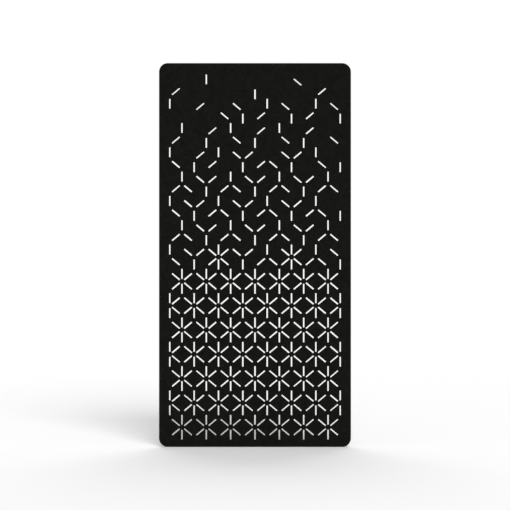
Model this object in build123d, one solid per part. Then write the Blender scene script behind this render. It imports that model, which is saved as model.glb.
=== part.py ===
from build123d import *
import math
import os

# Hanging acoustic screen: one felt board, cut through with a lattice of slots, that hangs from two wire
# grippers in a rail hidden in its top edge.
# Millimetres. X runs along the board, the front face looks along -Y and Z is up.
# The origin is the middle of the board's top edge.

# Felt board
board_width = 1200.0
board_height = 2400.0
board_thickness = 24.0
corner_radius = 55.0

# Lattice of tumbling blocks. Six slots can meet at each node; rows of nodes are counted from the top.
column_pitch = 76.2
row_pitch = 152.2
upright_edge = 93.5
first_row_drop = 147.2
side_margin = 60.0
bottom_margin = 40.0
slot_length = 65.0
slot_width = 12.0
slant_angle = 40.0
full_rows_start = 8

# Hanging rail, a C with its mouth up and a keel below
rail_end_margin = 70.0
rail_width = 16.0
rail_height = 18.0
rail_wall = 1.6
rail_lip = 2.0
rail_mouth = 8.4
rail_corner = 0.8
keel_depth = 20.0
keel_thickness = 1.6
barb_pitch = 4.0
barb_reach = 0.4

# Plugs in the rail's ends
plug_flange = 1.5
plug_spigot = 12.0
plug_fit = 0.1

# Groove and kerf in the board's top edge
groove_clearance = 0.2
kerf_clearance = 0.2
groove_end_gap = 0.5

# Wire gripper
wire_diameter = 1.5
hanger_spacing = 700.0
sleeve_recess = 1.5
sleeve_stand = 1.5
release_travel = 3.0
head_across_flats = 12.0
head_height = 5.5
cap_thickness = 2.0
shank_diameter = 8.0
shank_length = 14.5
pocket_across_flats = 4.3
pocket_taper = 4.0
chamber_radius = 3.1
jaw_length = 5.0
jaw_split = 0.4
jaw_count = 3
wire_slack = 0.05
entry_clearance = 0.25
sleeve_radius = 1.7
collar_height = 0.8
ring_height = 1.0
spring_wire = 0.5
spring_turns = 3.5
coil_lengths_per_turn = 10
closing_plug_height = 3.0
exit_clearance = 0.35
sliding_gap = 0.1
seat_gap = 0.05

# Slide nut and plate washer
nut_length = 20.0
nut_height = 5.0
nut_side_gap = 0.2
nut_chamfer = 1.5
thread_gap = 0.05
washer_side = 15.0
washer_height = 1.0
washer_gap = 0.2

# Places worked out from the sizes. The sleeve still stands out of the head when it is pressed in.
rail_length = board_width - 2 * rail_end_margin
rail_top = -(sleeve_recess + release_travel + sleeve_stand + head_height + washer_height)
rail_bottom = rail_top - rail_height
rail_channel_width = rail_width - 2 * rail_wall
head_seat = rail_top + washer_height
head_top = head_seat + head_height
sleeve_top = -sleeve_recess
cap_bottom = head_top - cap_thickness
shank_bottom = head_seat - shank_length
sleeve_bottom = cap_bottom - seat_gap - collar_height
jaws_top = sleeve_bottom - seat_gap
jaws_bottom = jaws_top - jaw_length
ring_top = jaws_bottom - seat_gap
ring_bottom = ring_top - ring_height
pocket_bottom = jaws_bottom - release_travel
closing_plug_top = shank_bottom + closing_plug_height
wire_radius = wire_diameter / 2
wire_exit_radius = wire_radius + exit_clearance
groove_half_length = rail_length / 2 + plug_flange + groove_end_gap

# Spokes that each node has, as U (up), D (down), NE, NW, SE and SW.
# In the upper half, nodes with one kind of neighbour keep three spokes and the rest keep the other three.
# Towards the top the design thins out by hand, and those nodes are written out, left to right.
ALL_SPOKES = "U D NE NW SE SW"
PEAK_SPOKES = "U SW SE"
VALLEY_SPOKES = "D NW NE"
STAR_NODES = [(7, -3), (7, 3)]
THINNED_NODES = {
    (0, -6): "SW",
    (0, -4): "U",
    (0, -2): "",
    (0, 0): "D",
    (0, 2): "",
    (0, 4): "NW",
    (0, 6): "SW",
    (1, -7): "U",
    (1, -5): "NE",
    (1, -3): "SE",
    (1, -1): "D NW",
    (1, 1): "U SW",
    (1, 3): "D NW",
    (1, 5): "U SW",
    (2, -6): "U SW",
    (2, -4): "D NE",
    (2, -2): "U SE",
    (2, 0): "D NE",
    (2, 2): "U SE",
    (2, 4): "D NE",
    (2, 6): "SE",
    (3, -5): "D NE",
    (3, -3): "U SW",
    (3, 1): "SE SW",
    (3, 5): "U SE",
    (3, 7): "D",
    (5, 7): "D",
}


def node_spokes(row, column):
    """The spokes that are cut at one node of the lattice."""
    if row >= full_rows_start or (row, column) in STAR_NODES:
        return ALL_SPOKES
    if (row, column) in THINNED_NODES:
        return THINNED_NODES[(row, column)]
    peak_column = 2 - row % 2
    return PEAK_SPOKES if column % 4 == peak_column else VALLEY_SPOKES


def slot_places():
    """The centre and turn of every slot, in the plane of the board's face."""
    half_columns = math.floor((board_width / 2 - side_margin) / column_pitch)
    lowest_reach = upright_edge / 2 + slot_length / 2
    rows_depth = board_height - first_row_drop - lowest_reach - bottom_margin
    row_count = math.floor(rows_depth / row_pitch) + 1
    across = column_pitch / 2
    rise = (row_pitch - upright_edge) / 2
    spoke_shapes = {
        "U": (0, upright_edge / 2, 90),
        "D": (0, -upright_edge / 2, 90),
        "NE": (across, rise, slant_angle),
        "NW": (-across, rise, -slant_angle),
        "SE": (across, -rise, -slant_angle),
        "SW": (-across, -rise, slant_angle),
    }
    places = []
    for row in range(row_count):
        for column in range(-half_columns, half_columns + 1):
            if (row + column) % 2:
                continue
            for spoke in node_spokes(row, column).split():
                dx, dz, turn = spoke_shapes[spoke]
                x = column * column_pitch + dx
                if abs(x) > half_columns * column_pitch:
                    continue
                z = -first_row_drop - row * row_pitch + dz
                places.append((x, z, turn))
    return places


def felt_board():
    """The board, its slots and the stopped groove and kerf in its top edge."""
    outline = Pos(0, -board_height / 2) * RectangleRounded(board_width, board_height, corner_radius)
    slot = Rectangle(slot_length, slot_width)
    slots = [Pos(x, z) * Rot(0, 0, turn) * slot for x, z, turn in slot_places()]
    back = Plane.XZ.offset(-board_thickness / 2)
    board = extrude(back * (outline - slots), board_thickness)
    groove_width = rail_width + 2 * groove_clearance
    groove_length = 2 * groove_half_length + groove_width
    groove = extrude(SlotOverall(groove_length, groove_width), rail_bottom)
    kerf_depth = keel_depth + kerf_clearance
    kerf_width = keel_thickness + 2 * barb_reach + 2 * kerf_clearance
    kerf_length = rail_length + 2 * groove_end_gap
    kerf = Pos(0, 0, rail_bottom) * Box(
        kerf_length, kerf_width, kerf_depth, align=(Align.CENTER, Align.CENTER, Align.MAX)
    )
    return board - [groove, kerf]


def keel_outline():
    """Half of the keel below the rail: saw-tooth barbs that hold the glue, as points going down."""
    root = keel_thickness / 2
    tip = root + barb_reach
    teeth = math.floor(keel_depth / barb_pitch)
    points = [(root, rail_bottom)]
    for tooth in range(1, teeth):
        z = rail_bottom - tooth * barb_pitch
        points += [(root, z + barb_pitch / 2), (tip, z), (root, z)]
    points += [(root, rail_bottom - keel_depth)]
    return points


def hanging_rail():
    """The rail's section, run along X."""
    half_width = rail_width / 2
    half_channel = rail_channel_width / 2
    half_mouth = rail_mouth / 2
    under_lip = rail_top - rail_lip
    floor = rail_bottom + rail_wall
    right = keel_outline()
    right_side = [
        (half_mouth, rail_top),
        (half_mouth, under_lip),
        (half_channel, under_lip),
        (half_channel, floor),
    ]
    left_side = [(-y, z) for y, z in reversed(right_side)]
    outside = [(-half_width, rail_top), (-half_width, rail_bottom)]
    keel = [(-y, z) for y, z in right] + list(reversed(right))
    closing = [(half_width, rail_bottom), (half_width, rail_top)]
    points = right_side + left_side + outside + keel + closing
    section = make_face(Polyline(*points, close=True))
    sides = section.vertices().group_by(Axis.X)
    section = fillet(sides[0] + sides[-1], rail_corner)
    left_end = Plane.YZ.offset(-rail_length / 2)
    return extrude(left_end * section, rail_length)


def rail_plug(side):
    """A plug pressed into one end of the rail: a flange over the end and a spigot in the channel."""
    flange = Box(
        plug_flange, rail_width, rail_height, align=(Align.MIN, Align.CENTER, Align.MAX)
    )
    channel_height = rail_height - rail_lip - rail_wall
    spigot = Pos(0, 0, -rail_lip - plug_fit) * Box(
        plug_spigot,
        rail_channel_width - 2 * plug_fit,
        channel_height - 2 * plug_fit,
        align=(Align.MAX, Align.CENTER, Align.MAX),
    )
    plug = Pos(rail_length / 2, 0, rail_top) * (flange + spigot)
    return plug if side > 0 else mirror(plug, Plane.YZ)


def turned(points):
    """A solid turned about Z from the (radius, height) points of its section."""
    section = make_face(Polyline(*points, close=True))
    return revolve(Plane.XZ * section, Axis.Z)


def hexagon(half_flats, z):
    """A level hexagon, centred on the gripper's axis."""
    return Pos(0, 0, z) * RegularPolygon(half_flats, 6, major_radius=False)


def pocket_half_flats(z):
    """Half the width across flats of the tapered pocket, at height z."""
    return pocket_across_flats / 2 + (cap_bottom - z) * math.tan(math.radians(pocket_taper))


def gripper_body():
    """Hexagonal head and round shank, with a tapered hexagonal pocket for the jaws.

    The sleeve's bore is above the pocket, and the spring's round chamber below it.
    """
    head = extrude(hexagon(head_across_flats / 2, head_seat), head_height)
    shank = Pos(0, 0, head_seat) * Cylinder(
        shank_diameter / 2, shank_length, align=(Align.CENTER, Align.CENTER, Align.MAX)
    )
    sleeve_bore = Pos(0, 0, head_top) * Cylinder(
        sleeve_radius + sliding_gap, cap_thickness, align=(Align.CENTER, Align.CENTER, Align.MAX)
    )
    pocket = loft(
        [
            hexagon(pocket_half_flats(cap_bottom), cap_bottom),
            hexagon(pocket_half_flats(pocket_bottom), pocket_bottom),
        ]
    )
    chamber = Pos(0, 0, shank_bottom) * Cylinder(
        chamber_radius, pocket_bottom - shank_bottom, align=(Align.CENTER, Align.CENTER, Align.MIN)
    )
    return head + shank - [sleeve_bore, pocket, chamber]


def release_sleeve():
    """The tube that stands out of the head. Its collar holds it in and bears on the jaws."""
    bore = wire_radius + entry_clearance
    collar_radius = pocket_half_flats(cap_bottom) - sliding_gap
    collar_top = sleeve_bottom + collar_height
    return turned(
        [
            (bore, sleeve_top),
            (sleeve_radius, sleeve_top),
            (sleeve_radius, collar_top),
            (collar_radius, collar_top),
            (collar_radius, sleeve_bottom),
            (bore, sleeve_bottom),
        ]
    )


def clamping_jaws():
    """Three jaws round the wire. Flat backs slide on the pocket's flats, with a split between jaws."""
    wedge = loft(
        [
            hexagon(pocket_half_flats(jaws_top) - seat_gap, jaws_top),
            hexagon(pocket_half_flats(jaws_bottom) - seat_gap, jaws_bottom),
        ]
    )
    grip = Pos(0, 0, jaws_bottom) * Cylinder(
        wire_radius + wire_slack, jaw_length, align=(Align.CENTER, Align.CENTER, Align.MIN)
    )
    split = Pos(0, 0, jaws_bottom) * Box(
        chamber_radius, jaw_split, jaw_length, align=(Align.MIN, Align.CENTER, Align.MIN)
    )
    splits = [Rot(0, 0, turn * 360 / jaw_count) * split for turn in range(jaw_count)]
    return wedge - [grip, *splits]


def pressure_ring():
    """The hexagonal ring that carries the spring's push to all three jaws."""
    ring = extrude(hexagon(pocket_half_flats(jaws_top) - seat_gap, ring_bottom), ring_height)
    hole = Pos(0, 0, ring_bottom) * Cylinder(
        wire_exit_radius, ring_height, align=(Align.CENTER, Align.CENTER, Align.MIN)
    )
    return ring - hole


def release_spring():
    """A compression spring of square wire, from the closing plug up to the pressure ring.

    The coil is made of short straight lengths, which keeps its faces few.
    """
    start = closing_plug_top + seat_gap + spring_wire / 2
    rise = ring_bottom - seat_gap - spring_wire / 2 - start
    coil_radius = pocket_half_flats(jaws_top) - seat_gap - spring_wire / 2
    centreline = Pos(0, 0, start) * Helix(rise / spring_turns, rise, coil_radius)
    lengths = round(spring_turns * coil_lengths_per_turn)
    sections = []
    for step in range(lengths + 1):
        along = step / lengths
        outward = Vector(1, 0, 0).rotate(Axis.Z, along * spring_turns * 360)
        plane = Plane(centreline @ along, x_dir=outward, z_dir=centreline % along)
        sections.append(plane * Rectangle(spring_wire, spring_wire))
    return loft(sections, ruled=True)


def closing_plug():
    """The plug screwed into the shank's end, with the wire's way out."""
    plug_radius = chamber_radius - thread_gap
    return turned(
        [
            (wire_exit_radius, closing_plug_top),
            (plug_radius, closing_plug_top),
            (plug_radius, shank_bottom),
            (wire_exit_radius, shank_bottom),
        ]
    )


def slide_nut():
    """The block in the rail's channel that the shank screws into."""
    block = Box(
        nut_length,
        rail_channel_width - 2 * nut_side_gap,
        nut_height,
        align=(Align.CENTER, Align.CENTER, Align.MAX),
    )
    block = chamfer(block.edges().filter_by(Axis.Z), nut_chamfer)
    hole = Cylinder(
        shank_diameter / 2 + thread_gap, nut_height, align=(Align.CENTER, Align.CENTER, Align.MAX)
    )
    return Pos(0, 0, rail_top - rail_lip) * (block - hole)


def plate_washer():
    """The square washer on top of the rail's lips."""
    plate = Box(
        washer_side, washer_side, washer_height, align=(Align.CENTER, Align.CENTER, Align.MIN)
    )
    hole = Cylinder(
        shank_diameter / 2 + washer_gap, washer_height, align=(Align.CENTER, Align.CENTER, Align.MIN)
    )
    return Pos(0, 0, rail_top) * (plate - hole)


GRIPPER_PIECES = {
    "slide_nut": slide_nut,
    "plate_washer": plate_washer,
    "gripper_body": gripper_body,
    "release_sleeve": release_sleeve,
    "clamping_jaws": clamping_jaws,
    "pressure_ring": pressure_ring,
    "release_spring": release_spring,
    "closing_plug": closing_plug,
}


def main():
    pieces = {
        "felt_board": felt_board(),
        "hanging_rail": hanging_rail(),
        "left_rail_plug": rail_plug(-1),
        "right_rail_plug": rail_plug(1),
    }
    for name, make in GRIPPER_PIECES.items():
        piece = make()
        pieces["left_" + name] = Pos(-hanger_spacing / 2, 0, 0) * piece
        pieces["right_" + name] = Pos(hanger_spacing / 2, 0, 0) * piece
    os.makedirs("parts", exist_ok=True)
    for name, shape in pieces.items():
        export_step(shape, f"parts/{name}.step")


main()
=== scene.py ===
import math

import bmesh
import bpy
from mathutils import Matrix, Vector
from mathutils.geometry import delaunay_2d_cdt


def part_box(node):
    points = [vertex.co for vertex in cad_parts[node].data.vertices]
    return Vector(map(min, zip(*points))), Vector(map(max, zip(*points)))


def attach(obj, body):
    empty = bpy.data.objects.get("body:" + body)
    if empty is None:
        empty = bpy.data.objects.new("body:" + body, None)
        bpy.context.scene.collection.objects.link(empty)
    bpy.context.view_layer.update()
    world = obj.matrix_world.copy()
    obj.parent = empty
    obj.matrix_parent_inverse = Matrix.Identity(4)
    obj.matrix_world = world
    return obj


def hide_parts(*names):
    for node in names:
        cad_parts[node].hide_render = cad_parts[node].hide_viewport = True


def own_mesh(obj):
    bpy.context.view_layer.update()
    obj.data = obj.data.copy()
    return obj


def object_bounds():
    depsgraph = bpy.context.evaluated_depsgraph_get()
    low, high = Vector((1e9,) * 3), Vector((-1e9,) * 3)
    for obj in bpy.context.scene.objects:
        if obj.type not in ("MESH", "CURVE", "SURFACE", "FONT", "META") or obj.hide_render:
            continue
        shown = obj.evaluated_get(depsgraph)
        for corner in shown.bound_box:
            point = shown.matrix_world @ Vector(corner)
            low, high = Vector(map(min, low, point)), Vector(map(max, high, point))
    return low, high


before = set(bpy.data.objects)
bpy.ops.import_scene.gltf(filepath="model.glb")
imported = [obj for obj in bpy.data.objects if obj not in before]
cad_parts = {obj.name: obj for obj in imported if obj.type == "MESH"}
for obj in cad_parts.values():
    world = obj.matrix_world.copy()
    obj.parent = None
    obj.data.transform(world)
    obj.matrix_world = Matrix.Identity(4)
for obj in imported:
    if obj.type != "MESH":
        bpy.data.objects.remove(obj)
cad_low, cad_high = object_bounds()

# The looks of the hanging acoustic screen, in metres, in the CAD model's frame.

# Felt board. The slots' places are read from the frame. They are cut a little smaller here than there,
# as the photograph shows them, and their rims are softened.
corner_radius = 0.055
corner_steps = 20
rim_radius = 0.0007
rim_steps = 2
slot_length = 0.062
slot_width = 0.009
slot_corner_radius = 0.0006
slot_corner_steps = 2
groove_half_length = 0.532
groove_radius = 0.0082
groove_depth = 0.0305
groove_rim = 0.0005
groove_end_steps = 16
kerf_half_length = 0.5305
kerf_half_width = 0.0014
kerf_depth = 0.0202

# Rail and rail plugs, whose CAD shapes stay and only get softer edges
rail_soft_edge = 0.00015
rail_plug_soft_edge = 0.0003
soft_edge_steps = 2
soft_edge_angle = math.radians(50)

# All the turned pieces, and how far the brightness of a rubbed edge reaches
points_around = 48
thread_rows = 8
edge_break = 0.0001
flat_rub = 0.0004
side_rub = 0.0003
wire_radius = 0.00075

# Gripper body
head_half_flats = 0.006
head_height = 0.0055
head_top_share = 0.95
head_chamfer_angle = math.radians(30)
head_foot_break = 0.00015
washer_face_height = 0.0002
bearing_gap = 0.00002
shank_radius = 0.004
shank_foot = 0.0005
thread_pitch = 0.001
thread_depth = 0.0005
thread_gap = 0.00005
thread_relief = 0.0008
cap_thickness = 0.002
sleeve_bore_radius = 0.0018
sleeve_bore_bevel = 0.0003
pocket_half_flats = 0.00215
pocket_depth = 0.0089
pocket_taper = math.radians(4)
chamber_radius = 0.0031

# Release sleeve
sleeve_radius = 0.0017
sleeve_wire_clearance = 0.00025
sleeve_rim = 0.0002
sleeve_rim_wall = 0.00035
sleeve_entry_depth = 0.0006
sleeve_groove_drop = 0.0009
sleeve_groove_width = 0.0006
collar_height = 0.0008

# Closing plug, and the wire's hole through it and the pressure ring
wire_exit_radius = 0.0011
wire_exit_bevel_width = 0.0004
wire_exit_bevel_depth = 0.0006
wire_entry_bevel = 0.0002
plug_thread_pitch = 0.0005
plug_thread_depth = 0.00022

# Clamping jaws
jaw_count = 3
jaw_bore_radius = 0.0008
jaw_half_split = 0.0002
jaw_tooth_pitch = 0.0005
jaw_tooth_depth = 0.00015
jaw_tooth_slope = 0.8
jaw_points_across = 9
jaw_seat_gap = 0.00005

# Release spring
spring_wire_radius = 0.00025
spring_wire_sides = 10
spring_active_turns = 3.2
spring_closed_turns = 0.8
spring_sections_per_turn = 28
spring_ground_share = 0.4

# Slide nut. Its corner cuts shrink with a share of the inset, which keeps the bevel round them even.
nut_corner = 0.0015
nut_corner_shrink = 0.6
nut_edge = 0.0003

# Plate washer
washer_corner_radius = 0.0008
washer_corner_steps = 4
washer_rolled_edge = 0.00025
washer_rolled_steps = 3
washer_foot_edge = 0.00008
washer_clearance = 0.0002

# Floor, which fades into the white background a few metres out
floor_radius = 30.0
floor_sides = 96
floor_drop = 0.0006
fade_start = 4.2
fade_end = 7.5

# Light: a soft key from the front, a wider one from behind and above, and an even sky. The angles are
# in degrees. Azimuth 0 is on the camera's side and 90 on the right.
suns = {
    "key": {"azimuth": 13, "elevation": 37.8, "width": 33.6, "strength": 0.705},
    "back": {"azimuth": 178, "elevation": 47, "width": 53.6, "strength": 0.375},
}
sky_strength = 0.315

# Camera, level with the middle of the board and square to it. Its sensor and lens are in millimetres.
camera_distance = 10.4
camera_sensor_width = 36
camera_lens = 117.40
camera_reach = 200

# Meshes. Flat areas are filled at a larger scale, where the filling's tolerance is fine enough.
sharp_angle = math.radians(40)
same_place = 1e-6
sliver = 1e-7
fill_scale = 1000
fill_tolerance = 1e-6
triangles_inside = 1


class Shell:
    """One closed mesh, built from rings of points."""

    def __init__(self):
        self.mesh = bmesh.new()
        self.wear = self.mesh.verts.layers.float.new("wear")

    def ring(self, points, wear=0.0):
        """Adds a ring of vertices. wear is how bright the finish is rubbed there, from 0 to 1."""
        ring = []
        for point in points:
            vertex = self.mesh.verts.new(point)
            vertex[self.wear] = wear
            ring.append(vertex)
        return ring

    def bridge(self, first, second, skip=None):
        """Joins two rings of as many vertices, but for the face at index skip."""
        count = len(first)
        for i in range(count):
            j = (i + 1) % count
            if i != skip:
                self.mesh.faces.new((first[i], first[j], second[j], second[i]))

    def stack(self, rings):
        """Joins each ring to the next."""
        for first, second in zip(rings, rings[1:]):
            self.bridge(first, second)

    def cap(self, outer, holes=(), axes=(0, 1)):
        """Fills the flat area between an outer ring and its convex holes."""
        vertices, edges, owner = [], [], []
        for number, ring in enumerate([outer, *holes]):
            start = len(vertices)
            vertices += ring
            owner += [number] * len(ring)
            edges += [(start + i, start + (i + 1) % len(ring)) for i in range(len(ring))]
        a, b = axes
        flat = [Vector((v.co[a], v.co[b])) * fill_scale for v in vertices]
        found = delaunay_2d_cdt(flat, edges, [], triangles_inside, fill_tolerance)
        faces, origins = found[2], found[3]
        for face in faces:
            corners = [origins[i][0] for i in face]
            owners = {owner[i] for i in corners}
            in_a_hole = len(owners) == 1 and owners != {0}
            if not in_a_hole:
                self.mesh.faces.new([vertices[i] for i in corners])

    def done(self, name):
        """Makes the object, with its edges over the sharp angle left hard."""
        bmesh.ops.recalc_face_normals(self.mesh, faces=self.mesh.faces)
        for face in self.mesh.faces:
            face.smooth = True
        data = bpy.data.meshes.new(name)
        self.mesh.to_mesh(data)
        self.mesh.free()
        data.set_sharp_from_angle(angle=sharp_angle)
        piece = bpy.data.objects.new(name, data)
        bpy.context.scene.collection.objects.link(piece)
        weighted = piece.modifiers.new("even_normals", "WEIGHTED_NORMAL")
        weighted.keep_sharp = True
        return piece


def dress(piece, material, slot, body, *nodes):
    """Gives a piece its material and puts it on its body in place of CAD nodes. The slot is not used."""
    piece.data.materials.append(material)
    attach(piece, body)
    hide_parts(*nodes)


def rounded_outline(half_width, half_height, radius, steps):
    """A rectangle with round corners, as points that start on the right of the top right corner."""
    points = []
    for corner, (sx, sy) in enumerate([(1, 1), (-1, 1), (-1, -1), (1, -1)]):
        for step in range(steps + 1):
            angle = math.pi / 2 * (corner + step / steps)
            x = sx * (half_width - radius) + radius * math.cos(angle)
            y = sy * (half_height - radius) + radius * math.sin(angle)
            points.append((x, y))
    return points


def stadium(half_length, radius, steps):
    """Two half circles joined by straight sides."""
    points = []
    for side, start in ((1, -math.pi / 2), (-1, math.pi / 2)):
        for step in range(steps + 1):
            angle = start + math.pi * step / steps
            points.append((side * half_length + radius * math.cos(angle), radius * math.sin(angle)))
    return points


def quarter_round(radius, steps):
    """How far back from the edge and how deep each ring of a rounded rim lies, from the face inwards."""
    places = []
    for step in range(steps + 1):
        angle = math.pi / 2 * step / steps
        places.append((radius * (1 - math.sin(angle)), radius * (1 - math.cos(angle))))
    return places


# Felt board

def slot_places(node, face_y):
    """The centre and turn of each slot in the CAD board's front face."""
    data = node.data
    on_face = [abs(v.co.y - face_y) < same_place for v in data.vertices]
    uses = {}
    for polygon in data.polygons:
        corners = list(polygon.vertices)
        if all(on_face[i] for i in corners):
            for a, b in zip(corners, corners[1:] + corners[:1]):
                key = (min(a, b), max(a, b))
                uses[key] = uses.get(key, 0) + 1
    neighbours = {}
    for (a, b), count in uses.items():
        if count == 1:
            neighbours.setdefault(a, []).append(b)
            neighbours.setdefault(b, []).append(a)
    slots = []
    seen = set()
    for start in sorted(neighbours):
        loop, before, here = [], None, start
        while here not in seen:
            seen.add(here)
            loop.append(data.vertices[here].co)
            ahead = [i for i in neighbours[here] if i != before]
            before, here = here, ahead[0]
        if len(loop) == 4:
            slots.append(centre_and_turn(loop))
    return slots


def centre_and_turn(loop):
    """One slot's centre and turn, from its four corners."""
    centre = sum(loop, Vector()) / 4
    long_side = max(loop[1] - loop[0], loop[2] - loop[1], key=lambda side: side.length)
    return centre.x, centre.z, math.atan2(long_side.z, long_side.x)


def slot_rings(shell, centre_x, centre_z, turn, levels):
    """The rings of one slot's wall, from the front face to the back face."""
    along, across = math.cos(turn), math.sin(turn)
    rings = []
    for back, y in levels:
        outline = rounded_outline(
            slot_length / 2 + back,
            slot_width / 2 + back,
            slot_corner_radius + back,
            slot_corner_steps,
        )
        points = []
        for u, v in outline:
            points.append((centre_x + u * along - v * across, y, centre_z + u * across + v * along))
        rings.append(shell.ring(points))
    return rings


def cut_groove(shell, strip, top):
    """Fills the strip of the top edge round the rail's groove, with the groove and kerf below it."""
    groove = []
    for back, deep in quarter_round(groove_rim, rim_steps) + [(0, groove_depth)]:
        outline = stadium(groove_half_length, groove_radius + back, groove_end_steps)
        groove.append(shell.ring([(x, y, top - deep) for x, y in outline]))
    shell.stack(groove)
    shell.cap(strip, [groove[0]])
    kerf = []
    for deep in (groove_depth, groove_depth + kerf_depth):
        corners = [(1, -1), (1, 1), (-1, 1), (-1, -1)]
        points = [(sx * kerf_half_length, sy * kerf_half_width, top - deep) for sx, sy in corners]
        kerf.append(shell.ring(points))
    shell.cap(groove[-1], [kerf[0]])
    shell.stack(kerf)
    shell.cap(kerf[1])


def felt_board():
    """The board with its slots, softened rims, rail groove and kerf."""
    low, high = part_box("felt_board")
    middle_z = (low.z + high.z) / 2
    half_width, half_height = (high.x - low.x) / 2, (high.z - low.z) / 2
    shell = Shell()
    rim = quarter_round(rim_radius, rim_steps)
    levels = [(back, low.y + deep) for back, deep in rim]
    levels += [(back, high.y - deep) for back, deep in reversed(rim)]

    outer = []
    for back, y in levels:
        outline = rounded_outline(half_width - back, half_height - back, corner_radius - back, corner_steps)
        outer.append(shell.ring([(x, y, middle_z + z) for x, z in outline]))
    # The flat strip between the top corners, from rim to rim, is left open for the groove.
    top_edge = corner_steps
    for number, (first, second) in enumerate(zip(outer, outer[1:])):
        shell.bridge(first, second, skip=top_edge if number == rim_steps else None)
    before, after = outer[rim_steps], outer[rim_steps + 1]
    strip = [before[top_edge], before[top_edge + 1], after[top_edge + 1], after[top_edge]]

    fronts, backs = [], []
    for centre_x, centre_z, turn in slot_places(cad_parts["felt_board"], low.y):
        rings = slot_rings(shell, centre_x, centre_z, turn, levels)
        shell.stack(rings)
        fronts.append(rings[0])
        backs.append(rings[-1])
    shell.cap(outer[0], fronts, axes=(0, 2))
    shell.cap(outer[-1], backs, axes=(0, 2))
    cut_groove(shell, strip, high.z)
    return shell.done("board")


# Turned and hexagonal pieces. A level is a radius and height for each direction about the axis.

directions = [2 * math.pi * i / points_around for i in range(points_around)]
sixth = math.pi / 3


def circle(radius, z):
    """A round level."""
    return [(radius, z)] * points_around


def hexagon_radius(half_flats, angle):
    """How far a hexagon with its corners on the X axis reaches at an angle."""
    return half_flats / math.cos(angle % sixth - sixth / 2)


def hexagon(half_flats, z):
    """A hexagonal level."""
    return [(hexagon_radius(half_flats, angle), z) for angle in directions]


def thread(z, crest, depth, pitch):
    """One level of a right-hand thread."""
    places = []
    for angle in directions:
        phase = z / pitch - angle / (2 * math.pi)
        places.append((crest - depth * (1 - math.cos(2 * math.pi * phase)) / 2, z))
    return places


def thread_levels(low, high, crest, depth, pitch):
    """Levels of a thread from high to low. Its first and last turns fade into the root."""
    count = round((high - low) / pitch * thread_rows)
    levels = []
    for step in range(count + 1):
        z = high - (high - low) * step / count
        fade = min(1.0, (high - z) / pitch, (z - low) / pitch)
        levels.append((thread(z, crest - depth * (1 - fade), depth * fade, pitch), fade))
    return levels


def place(shell, centre_x, level, wear):
    """One ring about a gripper's axis."""
    points = []
    for angle, (radius, z) in zip(directions, level):
        points.append((centre_x + radius * math.cos(angle), radius * math.sin(angle), z))
    return shell.ring(points, wear)


def turned(centre_x, levels):
    """A ring-shaped solid. Each level comes with its wear, and the last one joins the first."""
    shell = Shell()
    rings = [place(shell, centre_x, level, wear) for level, wear in levels]
    shell.stack(rings + rings[:1])
    return shell


def gripper_body(centre_x, node):
    """Hexagonal head, threaded shank, and the bore, pocket and chamber inside them."""
    low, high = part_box(node)
    top_radius = head_top_share * head_half_flats
    slope = math.tan(head_chamfer_angle)
    corners = [hexagon_radius(head_half_flats, angle) for angle in directions]
    chamfer = [(radius, high.z - (radius - top_radius) * slope) for radius in corners]
    below_chamfer = [(radius, z - side_rub) for radius, z in chamfer]
    seat = high.z - head_height + bearing_gap
    washer_face = seat + washer_face_height
    washer_face_radius = top_radius - edge_break
    neck = shank_radius - thread_depth
    levels = [
        (circle(top_radius - flat_rub, high.z), 0.1),
        (circle(top_radius, high.z), 0.7),
        (chamfer, 1.0),
        (below_chamfer, 0.15),
        (hexagon(head_half_flats, washer_face + flat_rub), 0.1),
        (hexagon(head_half_flats, washer_face + head_foot_break), 0.8),
        (hexagon(head_half_flats - head_foot_break, washer_face), 0.3),
        (circle(washer_face_radius, washer_face), 0.0),
        (circle(washer_face_radius, seat), 0.3),
        (circle(neck + edge_break, seat), 0.0),
        (circle(neck, seat - edge_break), 0.0),
    ]
    foot, top = low.z + shank_foot, seat - thread_relief
    screw = thread_levels(foot, top, shank_radius, thread_depth, thread_pitch)
    levels += [(level, 0.35 * fade) for level, fade in screw]
    cap_bottom = high.z - cap_thickness
    pocket_foot = cap_bottom - pocket_depth
    pocket_end = pocket_half_flats + pocket_depth * math.tan(pocket_taper)
    levels += [
        (circle(neck - edge_break, low.z), 0.5),
        (circle(chamber_radius + edge_break, low.z), 0.2),
        (circle(chamber_radius, low.z + edge_break), 0.0),
        (circle(chamber_radius, pocket_foot), 0.0),
        (hexagon(pocket_end, pocket_foot), 0.3),
        (hexagon(pocket_half_flats, cap_bottom), 0.0),
        (circle(sleeve_bore_radius, cap_bottom), 0.0),
        (circle(sleeve_bore_radius, high.z - sleeve_bore_bevel), 0.2),
        (circle(sleeve_bore_radius + sleeve_bore_bevel, high.z), 0.6),
        (circle(sleeve_bore_radius + 2 * sleeve_bore_bevel, high.z), 0.1),
    ]
    return turned(centre_x, levels)


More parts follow.
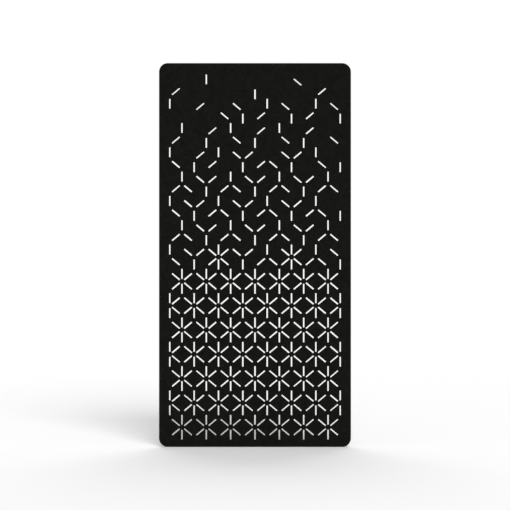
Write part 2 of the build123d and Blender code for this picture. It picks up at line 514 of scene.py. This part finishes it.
def release_sleeve(centre_x, node):
    """Tube with a countersunk entry, a rolled top rim, a groove below it and a collar at its foot."""
    low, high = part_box(node)
    bore = wire_radius + sleeve_wire_clearance
    collar = (high.x - low.x) / 2
    collar_top = low.z + collar_height
    part_way_round = 0.3 * sleeve_rim
    groove_top = high.z - sleeve_groove_drop
    groove_foot = groove_top - sleeve_groove_width
    levels = [
        (circle(sleeve_radius - sleeve_rim, high.z), 1.0),
        (circle(sleeve_radius - part_way_round, high.z - part_way_round), 1.0),
        (circle(sleeve_radius, high.z - sleeve_rim), 0.8),
        (circle(sleeve_radius, high.z - 3 * sleeve_rim), 0.2),
        (circle(sleeve_radius, groove_top), 0.1),
        (circle(sleeve_radius - edge_break, groove_top - edge_break), 0.0),
        (circle(sleeve_radius - edge_break, groove_foot + edge_break), 0.0),
        (circle(sleeve_radius, groove_foot), 0.3),
        (circle(sleeve_radius, collar_top + edge_break), 0.0),
        (circle(sleeve_radius + edge_break, collar_top), 0.0),
        (circle(collar - edge_break / 2, collar_top), 0.3),
        (circle(collar, collar_top - edge_break / 2), 0.5),
        (circle(collar, low.z + edge_break), 0.4),
        (circle(collar - edge_break, low.z), 0.3),
        (circle(bore + edge_break, low.z), 0.2),
        (circle(bore, low.z + edge_break), 0.0),
        (circle(bore, high.z - sleeve_entry_depth), 0.2),
        (circle(sleeve_radius - sleeve_rim_wall, high.z - edge_break / 2), 0.9),
    ]
    return turned(centre_x, levels)


def pressure_ring(centre_x, node):
    """A hexagonal ring with broken edges."""
    low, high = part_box(node)
    half_flats = (high.y - low.y) / 2
    hole = wire_exit_radius
    levels = [
        (hexagon(half_flats - edge_break, high.z), 0.3),
        (hexagon(half_flats, high.z - edge_break), 0.6),
        (hexagon(half_flats, low.z + edge_break), 0.6),
        (hexagon(half_flats - edge_break, low.z), 0.3),
        (circle(hole + edge_break, low.z), 0.2),
        (circle(hole, low.z + edge_break), 0.0),
        (circle(hole, high.z - edge_break), 0.0),
        (circle(hole + edge_break, high.z), 0.2),
    ]
    return turned(centre_x, levels)


def closing_plug(centre_x, node):
    """A threaded plug with a bevelled way out for the wire."""
    low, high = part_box(node)
    outside = (high.x - low.x) / 2
    end_radius = outside - plug_thread_depth - edge_break
    hole = wire_exit_radius
    foot, top = low.z + edge_break, high.z - edge_break
    screw = thread_levels(foot, top, outside, plug_thread_depth, plug_thread_pitch)
    levels = [(circle(end_radius, high.z), 0.3)]
    levels += [(level, 0.4 * fade) for level, fade in screw]
    levels += [
        (circle(end_radius, low.z), 0.3),
        (circle(hole + wire_exit_bevel_width, low.z), 0.7),
        (circle(hole, low.z + wire_exit_bevel_depth), 0.2),
        (circle(hole, high.z - wire_entry_bevel), 0.0),
        (circle(hole + wire_entry_bevel, high.z), 0.2),
    ]
    return turned(centre_x, levels)


def jaw_angles(jaw, radius):
    """Directions across one jaw, clear of the splits on both sides of it at a radius."""
    span = 2 * math.pi / jaw_count
    edge = math.asin(jaw_half_split / radius)
    shares = [step / (jaw_points_across - 1) for step in range(jaw_points_across)]
    return [jaw * span + edge + share * (span - 2 * edge) for share in shares]


def clamping_jaws(centre_x, node):
    """Three toothed jaws, split apart, with flat backs."""
    low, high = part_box(node)
    cap_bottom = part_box(node.replace("clamping_jaws", "gripper_body"))[1].z - cap_thickness
    heights = []
    for tooth in range(round((high.z - low.z) / jaw_tooth_pitch)):
        foot = low.z + tooth * jaw_tooth_pitch
        heights += [(foot, 0.0), (foot + jaw_tooth_slope * jaw_tooth_pitch, jaw_tooth_depth)]
    heights.append((high.z, 0.0))
    shell = Shell()
    for jaw in range(jaw_count):
        rings = []
        for z, tooth in heights:
            half_flats = pocket_half_flats + (cap_bottom - z) * math.tan(pocket_taper) - jaw_seat_gap
            corner = hexagon_radius(half_flats, 0)
            bore = jaw_bore_radius + tooth
            outline = [(angle, hexagon_radius(half_flats, angle)) for angle in jaw_angles(jaw, corner)]
            outline += [(angle, bore) for angle in reversed(jaw_angles(jaw, bore))]
            points = []
            for angle, radius in outline:
                points.append((centre_x + radius * math.cos(angle), radius * math.sin(angle), z))
            rings.append(shell.ring(points, 0.3))
        shell.stack(rings)
        shell.cap(rings[0])
        shell.cap(rings[-1])
    return shell


def coil_height(turn, total, start, end):
    """The height of a spring's wire after some turns. Its first and last turns are closed."""
    closed_rise = spring_closed_turns * 2 * spring_wire_radius
    if turn < spring_closed_turns:
        return start + closed_rise * turn / spring_closed_turns
    if turn > total - spring_closed_turns:
        return end - closed_rise * (total - turn) / spring_closed_turns
    share = (turn - spring_closed_turns) / spring_active_turns
    return start + closed_rise + share * (end - start - 2 * closed_rise)


def release_spring(centre_x, node):
    """A round-wire compression spring with closed, ground ends."""
    low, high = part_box(node)
    radius = (high.x - low.x) / 2 - spring_wire_radius
    ground = spring_ground_share * spring_wire_radius
    total = spring_active_turns + 2 * spring_closed_turns
    steps = round(total * spring_sections_per_turn)
    shell = Shell()
    rings = []
    for step in range(steps + 1):
        turn = total * step / steps
        middle = coil_height(turn, total, low.z + ground, high.z - ground)
        angle = 2 * math.pi * turn
        outward = Vector((math.cos(angle), math.sin(angle), 0))
        points = []
        for side in range(spring_wire_sides):
            tilt = 2 * math.pi * side / spring_wire_sides
            reach = radius + spring_wire_radius * math.cos(tilt)
            z = middle + spring_wire_radius * math.sin(tilt)
            z = min(max(z, low.z), high.z)
            points.append((centre_x + reach * outward.x, reach * outward.y, z))
        rings.append(shell.ring(points, 0.2))
    shell.stack(rings)
    shell.mesh.faces.new(rings[0])
    shell.mesh.faces.new(rings[-1])
    bmesh.ops.dissolve_degenerate(shell.mesh, dist=sliver, edges=shell.mesh.edges)
    return shell


def slide_nut(centre_x, node):
    """A block with chamfered corners, broken edges and a threaded hole."""
    low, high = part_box(node)
    half_x, half_y = (high.x - low.x) / 2, (high.y - low.y) / 2
    shell = Shell()

    def block_ring(inset, z, wear):
        x, y, cut = half_x - inset, half_y - inset, nut_corner - inset * nut_corner_shrink
        corners = [
            (x, -y + cut), (x, y - cut), (x - cut, y), (-x + cut, y),
            (-x, y - cut), (-x, -y + cut), (-x + cut, -y), (x - cut, -y),
        ]
        return shell.ring([(centre_x + u, v, z) for u, v in corners], wear)

    sides = [
        block_ring(nut_edge, high.z, 0.5),
        block_ring(0, high.z - nut_edge, 0.9),
        block_ring(0, high.z - 3 * nut_edge, 0.0),
        block_ring(0, low.z + 3 * nut_edge, 0.0),
        block_ring(0, low.z + nut_edge, 0.9),
        block_ring(nut_edge, low.z, 0.5),
    ]
    shell.stack(sides)
    crest = shank_radius + thread_gap
    mouth = crest + nut_edge / 2
    screw = thread_levels(low.z + nut_edge, high.z - nut_edge, crest, thread_depth, thread_pitch)
    hole = [place(shell, centre_x, circle(mouth, high.z), 0.5)]
    hole += [place(shell, centre_x, level, 0.2) for level, _ in screw]
    hole += [place(shell, centre_x, circle(mouth, low.z), 0.5)]
    shell.stack(hole)
    shell.cap(sides[0], [hole[0]])
    shell.cap(sides[-1], [hole[-1]])
    return shell


def plate_washer(centre_x, node):
    """A pressed square washer: one edge rolled over, the other nearly square."""
    low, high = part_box(node)
    half = (high.x - low.x) / 2
    hole_radius = shank_radius + washer_clearance
    shell = Shell()

    def plate_ring(inset, z, wear):
        outline = rounded_outline(half - inset, half - inset, washer_corner_radius, washer_corner_steps)
        return shell.ring([(centre_x + u, v, z) for u, v in outline], wear)

    rolled = quarter_round(washer_rolled_edge, washer_rolled_steps)
    sides = [plate_ring(back, high.z - deep, 0.8) for back, deep in rolled]
    sides += [plate_ring(0, low.z + washer_foot_edge, 0.4), plate_ring(washer_foot_edge, low.z, 0.4)]
    shell.stack(sides)
    hole = []
    for back, deep in rolled:
        hole.append(place(shell, centre_x, circle(hole_radius + back, high.z - deep), 0.7))
    hole.append(place(shell, centre_x, circle(hole_radius, low.z), 0.3))
    shell.stack(hole)
    shell.cap(sides[0], [hole[0]])
    shell.cap(sides[-1], [hole[-1]])
    return shell


# Materials

class Finish:
    """A material and short ways to add and join its nodes."""

    def __init__(self, name):
        self.material = bpy.data.materials.new(name)
        self.material.use_nodes = True
        self.nodes = self.material.node_tree.nodes
        self.links = self.material.node_tree.links
        self.nodes.clear()
        self.output = self.nodes.new("ShaderNodeOutputMaterial")
        self.shader = self.nodes.new("ShaderNodeBsdfPrincipled")
        self.links.new(self.shader.outputs[0], self.output.inputs["Surface"])
        self.place = self.nodes.new("ShaderNodeTexCoord").outputs["Object"]

    def stretched(self, scale, turn=(0, 0, 0)):
        """Object coordinates, turned and then scaled along each axis."""
        node = self.nodes.new("ShaderNodeMapping")
        node.vector_type = "TEXTURE"
        node.inputs["Rotation"].default_value = turn
        node.inputs["Scale"].default_value = [1 / factor for factor in scale]
        self.links.new(self.place, node.inputs["Vector"])
        return node.outputs[0]

    def noise(self, scale, detail, roughness, distortion=0.0, place=None):
        """Fractal noise over object coordinates, or over a place that is given."""
        node = self.nodes.new("ShaderNodeTexNoise")
        node.inputs["Scale"].default_value = scale
        node.inputs["Detail"].default_value = detail
        node.inputs["Roughness"].default_value = roughness
        node.inputs["Distortion"].default_value = distortion
        self.links.new(self.place if place is None else place, node.inputs["Vector"])
        return node.outputs["Fac"]

    def math(self, operation, first, second=None):
        """One sum, product or the like, of sockets or numbers."""
        node = self.nodes.new("ShaderNodeMath")
        node.operation = operation
        for socket, value in zip(node.inputs, (first, second)):
            if value is None:
                continue
            if isinstance(value, (int, float)):
                socket.default_value = value
            else:
                self.links.new(value, socket)
        return node.outputs[0]

    def spread(self, value, low, high, to_low=0.0, to_high=1.0):
        """value taken smoothly from the range low to high onto another range."""
        node = self.nodes.new("ShaderNodeMapRange")
        node.interpolation_type = "SMOOTHSTEP"
        node.inputs["From Min"].default_value = low
        node.inputs["From Max"].default_value = high
        node.inputs["To Min"].default_value = to_low
        node.inputs["To Max"].default_value = to_high
        self.links.new(value, node.inputs["Value"])
        return node.outputs["Result"]

    def blend(self, share, first, second):
        """A colour between two, each a socket or an RGB triple."""
        node = self.nodes.new("ShaderNodeMix")
        node.data_type = "RGBA"
        self.links.new(share, node.inputs["Factor"])
        # The colour sockets share their names with others, so they go by number.
        for socket, value in ((node.inputs[6], first), (node.inputs[7], second)):
            if isinstance(value, tuple):
                socket.default_value = (*value, 1)
            else:
                self.links.new(value, socket)
        return node.outputs[2]

    def attribute(self, name):
        """A value stored on the mesh."""
        node = self.nodes.new("ShaderNodeAttribute")
        node.attribute_name = name
        return node.outputs["Fac"]

    def bump(self, height, distance, strength, under=None):
        """A normal bent by a height, over another bump where one is given."""
        node = self.nodes.new("ShaderNodeBump")
        node.inputs["Strength"].default_value = strength
        node.inputs["Distance"].default_value = distance
        self.links.new(height, node.inputs["Height"])
        if under is not None:
            self.links.new(under, node.inputs["Normal"])
        return node.outputs[0]

    def feed(self, socket, value):
        """Joins a value to one of the shader's sockets, or sets it there."""
        if isinstance(value, (int, float)):
            self.shader.inputs[socket].default_value = value
        elif isinstance(value, tuple):
            self.shader.inputs[socket].default_value = (*value, 1)
        else:
            self.links.new(value, self.shader.inputs[socket])


def felt():
    """Pressed polyester felt: crossing fibres on the faces, cut layers on the edges."""
    soot, ash, pale = (0.0034, 0.0036, 0.0028), (0.0064, 0.0069, 0.0054), (0.0165, 0.0173, 0.0146)
    fibre_directions, first_direction, fibre_stretch = 4, 12, 0.07
    finish = Finish("black_felt")
    fibres = 0.0
    for number in range(fibre_directions):
        turn = math.radians(first_direction + number * 180 / fibre_directions)
        place = finish.stretched((1.0, 1.0, fibre_stretch), (0, turn, 0))
        lines = finish.noise(1500 + 110 * number, detail=2.0, roughness=0.55, distortion=0.5, place=place)
        fibres = finish.math("MAXIMUM", fibres, finish.spread(lines, low=0.54, high=0.70))
    tufts = finish.noise(420, detail=3.0, roughness=0.6)
    cloud = finish.noise(34, detail=4.0, roughness=0.6, distortion=0.6)
    pressed = finish.stretched((0.35, 7.0, 0.35))
    layers = finish.noise(300, detail=3.0, roughness=0.6, distortion=0.2, place=pressed)

    normal = finish.nodes.new("ShaderNodeTexCoord").outputs["Normal"]
    split = finish.nodes.new("ShaderNodeSeparateXYZ")
    finish.links.new(normal, split.inputs[0])
    facing = finish.math("ABSOLUTE", split.outputs["Y"])
    edge = finish.spread(facing, low=0.9, high=0.35)

    face = finish.blend(finish.spread(cloud, low=0.3, high=0.7), soot, ash)
    face = finish.blend(finish.math("MULTIPLY", fibres, 0.55), face, pale)
    cut = finish.blend(finish.spread(layers, low=0.35, high=0.65), soot, pale)
    finish.feed("Base Color", finish.blend(edge, face, cut))
    finish.feed("Roughness", finish.spread(tufts, low=0.3, high=0.7, to_low=0.84, to_high=0.98))
    finish.feed("Specular IOR Level", 0.03)
    finish.feed("Sheen Weight", 0.03)
    finish.feed("Sheen Roughness", 0.3)
    height = finish.math("ADD", fibres, finish.math("MULTIPLY", tufts, 0.8))
    height = finish.math("ADD", height, finish.math("MULTIPLY", edge, layers))
    rolling = finish.bump(cloud, distance=0.0012, strength=0.5)
    finish.feed("Normal", finish.bump(height, distance=0.00025, strength=0.9, under=rolling))
    return finish.material


def metal(name, base, bright, roughness, grain, grain_scale, grain_depth, tarnish):
    """Metal with fine tool marks. Rubbed edges turn brighter, and stains darken it by the tarnish."""
    smoothest, roughest, polish = roughness - 0.07, roughness + 0.09, 0.08
    finish = Finish(name)
    marks = finish.noise(grain_scale, detail=3.0, roughness=0.6, place=finish.stretched(grain))
    stain = finish.noise(900, detail=3.0, roughness=0.55, distortion=0.4)
    clean = finish.spread(stain, low=0.3, high=0.62)
    rubbed = finish.math("MULTIPLY", finish.attribute("wear"), clean)
    dull = tuple(tarnish * channel for channel in base)
    colour = finish.blend(finish.spread(stain, low=0.35, high=0.7), dull, base)
    finish.feed("Base Color", finish.blend(rubbed, colour, bright))
    finish.feed("Metallic", 1.0)
    rough = finish.spread(marks, low=0.25, high=0.75, to_low=smoothest, to_high=roughest)
    finish.feed("Roughness", finish.math("SUBTRACT", rough, finish.math("MULTIPLY", rubbed, polish)))
    finish.feed("Normal", finish.bump(marks, distance=grain_depth, strength=0.6))
    return finish.material


def anodised():
    """Black anodised aluminium with faint extrusion lines along the rail."""
    dark, light = (0.020, 0.020, 0.022), (0.036, 0.036, 0.039)
    finish = Finish("black_anodised")
    along_rail = finish.stretched((0.004, 1.0, 1.0))
    lines = finish.noise(2600, detail=3.0, roughness=0.6, place=along_rail)
    dust = finish.noise(700, detail=4.0, roughness=0.6)
    finish.feed("Base Color", finish.blend(finish.spread(lines, low=0.3, high=0.7), dark, light))
    finish.feed("Metallic", 0.75)
    finish.feed("Roughness", finish.spread(dust, low=0.3, high=0.7, to_low=0.34, to_high=0.46))
    finish.feed("Normal", finish.bump(lines, distance=0.00002, strength=0.6))
    return finish.material


def moulded_plastic():
    """Black plastic with a fine spark-eroded grain."""
    dark, light = (0.016, 0.016, 0.016), (0.026, 0.026, 0.026)
    finish = Finish("black_plastic")
    grain = finish.noise(3800, detail=3.0, roughness=0.65)
    haze = finish.noise(260, detail=3.0, roughness=0.5)
    finish.feed("Base Color", finish.blend(finish.spread(haze, low=0.3, high=0.7), dark, light))
    finish.feed("Roughness", finish.spread(grain, low=0.3, high=0.7, to_low=0.42, to_high=0.58))
    finish.feed("Normal", finish.bump(grain, distance=0.00003, strength=0.5))
    return finish.material


# Each metal's colour, its colour where it is rubbed, its tool marks and how dark its stains are. The
# grain of the marks is the scale of their pattern along each axis.
turned_marks, drawn_marks, tumbled_marks = (0.02, 0.02, 1.0), (1.0, 1.0, 0.1), (1.0, 1.0, 1.0)
metals = {
    "zinc_steel": {
        "base": (0.56, 0.58, 0.60),
        "bright": (0.74, 0.75, 0.76),
        "roughness": 0.36,
        "grain": tumbled_marks,
        "grain_scale": 2200,
        "grain_depth": 0.00002,
        "tarnish": 0.80,
    },
    "nickel_brass": {
        "base": (0.62, 0.59, 0.54),
        "bright": (0.80, 0.66, 0.40),
        "roughness": 0.26,
        "grain": turned_marks,
        "grain_scale": 9000,
        "grain_depth": 0.00001,
        "tarnish": 0.90,
    },
    "hard_steel": {
        "base": (0.30, 0.30, 0.31),
        "bright": (0.56, 0.56, 0.57),
        "roughness": 0.34,
        "grain": tumbled_marks,
        "grain_scale": 5200,
        "grain_depth": 0.00001,
        "tarnish": 0.85,
    },
    "spring_steel": {
        "base": (0.46, 0.46, 0.48),
        "bright": (0.66, 0.66, 0.67),
        "roughness": 0.28,
        "grain": drawn_marks,
        "grain_scale": 7000,
        "grain_depth": 0.00001,
        "tarnish": 0.88,
    },
    "bare_brass": {
        "base": (0.72, 0.51, 0.22),
        "bright": (0.86, 0.68, 0.36),
        "roughness": 0.30,
        "grain": turned_marks,
        "grain_scale": 8000,
        "grain_depth": 0.00001,
        "tarnish": 0.84,
    },
}


def cast_materials():
    """Every material, under the name of its slot in the record."""
    finishes = {
        "black_felt": felt(),
        "black_anodised": anodised(),
        "black_plastic": moulded_plastic(),
    }
    for name, look in metals.items():
        finishes[name] = metal(name, **look)
    return finishes


finishes = cast_materials()

# The board, and the rail and its plugs

board = felt_board()
dress(board, finishes["black_felt"], "black_felt", "screen", "felt_board")

for name, finish_name, width in (
    ("hanging_rail", "black_anodised", rail_soft_edge),
    ("left_rail_plug", "black_plastic", rail_plug_soft_edge),
    ("right_rail_plug", "black_plastic", rail_plug_soft_edge),
):
    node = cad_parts[name]
    node.data.materials.clear()
    node.data.materials.append(finishes[finish_name])
    weld = node.modifiers.new("joined_faces", "WELD")
    weld.merge_threshold = same_place
    soften = node.modifiers.new("soft_edges", "BEVEL")
    soften.width = width
    soften.segments = soft_edge_steps
    soften.limit_method = "ANGLE"
    soften.angle_limit = soft_edge_angle
    soften.harden_normals = True

# Wire grippers: each piece's maker, finish and body

gripper_pieces = {
    "slide_nut": (slide_nut, "zinc_steel", "nut"),
    "plate_washer": (plate_washer, "zinc_steel", "hanger"),
    "gripper_body": (gripper_body, "nickel_brass", "gripper"),
    "closing_plug": (closing_plug, "bare_brass", "gripper"),
    "release_spring": (release_spring, "spring_steel", "gripper"),
    "release_sleeve": (release_sleeve, "nickel_brass", "release"),
    "clamping_jaws": (clamping_jaws, "hard_steel", "release"),
    "pressure_ring": (pressure_ring, "hard_steel", "release"),
}
for side in ("left", "right"):
    washer_low, washer_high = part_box(f"{side}_plate_washer")
    axis_x = (washer_low.x + washer_high.x) / 2
    for name, (make, finish_name, body) in gripper_pieces.items():
        node = f"{side}_{name}"
        piece = make(axis_x, node).done(f"{node}_finished")
        dress(piece, finishes[finish_name], finish_name, f"{side}_{body}", node)
        if name == "release_spring":
            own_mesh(piece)


# Floor

def pale_floor():
    """A matt white, which far out turns into the background where the camera or a gloss shows it."""
    finish = Finish("pale_floor")
    finish.feed("Base Color", (0.97, 0.97, 0.97))
    finish.feed("Roughness", 1.0)
    finish.feed("Specular IOR Level", 0.0)
    away = finish.nodes.new("ShaderNodeVectorMath")
    away.operation = "LENGTH"
    finish.links.new(finish.place, away.inputs[0])
    far = finish.spread(away.outputs["Value"], fade_start, fade_end)
    rays = finish.nodes.new("ShaderNodeLightPath")
    seen = finish.math("MAXIMUM", rays.outputs["Is Camera Ray"], rays.outputs["Is Glossy Ray"])
    white = finish.nodes.new("ShaderNodeEmission")
    mix = finish.nodes.new("ShaderNodeMixShader")
    finish.links.new(finish.math("MULTIPLY", far, seen), mix.inputs[0])
    finish.links.new(finish.shader.outputs[0], mix.inputs[1])
    finish.links.new(white.outputs[0], mix.inputs[2])
    finish.links.new(mix.outputs[0], finish.output.inputs["Surface"])
    return finish.material


floor_mesh = bmesh.new()
bmesh.ops.create_circle(floor_mesh, cap_ends=True, radius=floor_radius, segments=floor_sides)
floor_data = bpy.data.meshes.new("studio_floor")
floor_mesh.to_mesh(floor_data)
floor_mesh.free()
floor = bpy.data.objects.new("studio_floor", floor_data)
bpy.context.scene.collection.objects.link(floor)
floor.location.z = cad_low.z - floor_drop
floor_data.materials.append(pale_floor())


# Light

def soft_sun(name, azimuth, elevation, width, strength):
    """A broad, even light."""
    data = bpy.data.lights.new(name, "SUN")
    data.energy = strength * math.pi
    data.angle = math.radians(width)
    lamp = bpy.data.objects.new(name, data)
    bpy.context.scene.collection.objects.link(lamp)
    a, e = math.radians(azimuth), math.radians(elevation)
    towards = Vector((math.sin(a) * math.cos(e), -math.cos(a) * math.cos(e), math.sin(e)))
    lamp.rotation_mode = "QUATERNION"
    lamp.rotation_quaternion = towards.to_track_quat("Z", "Y")


def studio_world():
    """An even sky, which turns white where the camera, a gloss or clear glass shows it."""
    world = bpy.data.worlds.new("studio")
    world.use_nodes = True
    nodes, links = world.node_tree.nodes, world.node_tree.links
    nodes.clear()
    sky = nodes.new("ShaderNodeBackground")
    sky.inputs["Strength"].default_value = sky_strength
    backdrop = nodes.new("ShaderNodeBackground")
    for background in (sky, backdrop):
        background.inputs["Color"].default_value = (1, 1, 1, 1)
    rays = nodes.new("ShaderNodeLightPath")
    seen = rays.outputs["Is Camera Ray"]
    for kind in ("Is Glossy Ray", "Is Transmission Ray"):
        either = nodes.new("ShaderNodeMath")
        either.operation = "MAXIMUM"
        links.new(seen, either.inputs[0])
        links.new(rays.outputs[kind], either.inputs[1])
        seen = either.outputs[0]
    mix = nodes.new("ShaderNodeMixShader")
    links.new(seen, mix.inputs[0])
    links.new(sky.outputs[0], mix.inputs[1])
    links.new(backdrop.outputs[0], mix.inputs[2])
    output = nodes.new("ShaderNodeOutputWorld")
    links.new(mix.outputs[0], output.inputs["Surface"])
    return world


for name, sun in suns.items():
    soft_sun(name, **sun)
bpy.context.scene.world = studio_world()

# Camera

camera_data = bpy.data.cameras.new("camera")
camera_data.sensor_width = camera_sensor_width
camera_data.lens = camera_lens
camera_data.clip_end = camera_reach
camera = bpy.data.objects.new("camera", camera_data)
bpy.context.scene.collection.objects.link(camera)
camera.location = (0, cad_low.y - camera_distance, (cad_low.z + cad_high.z) / 2)
camera.rotation_euler = (math.radians(90), 0, 0)
bpy.context.scene.camera = camera
bpy.context.scene.view_settings.view_transform = "Standard"
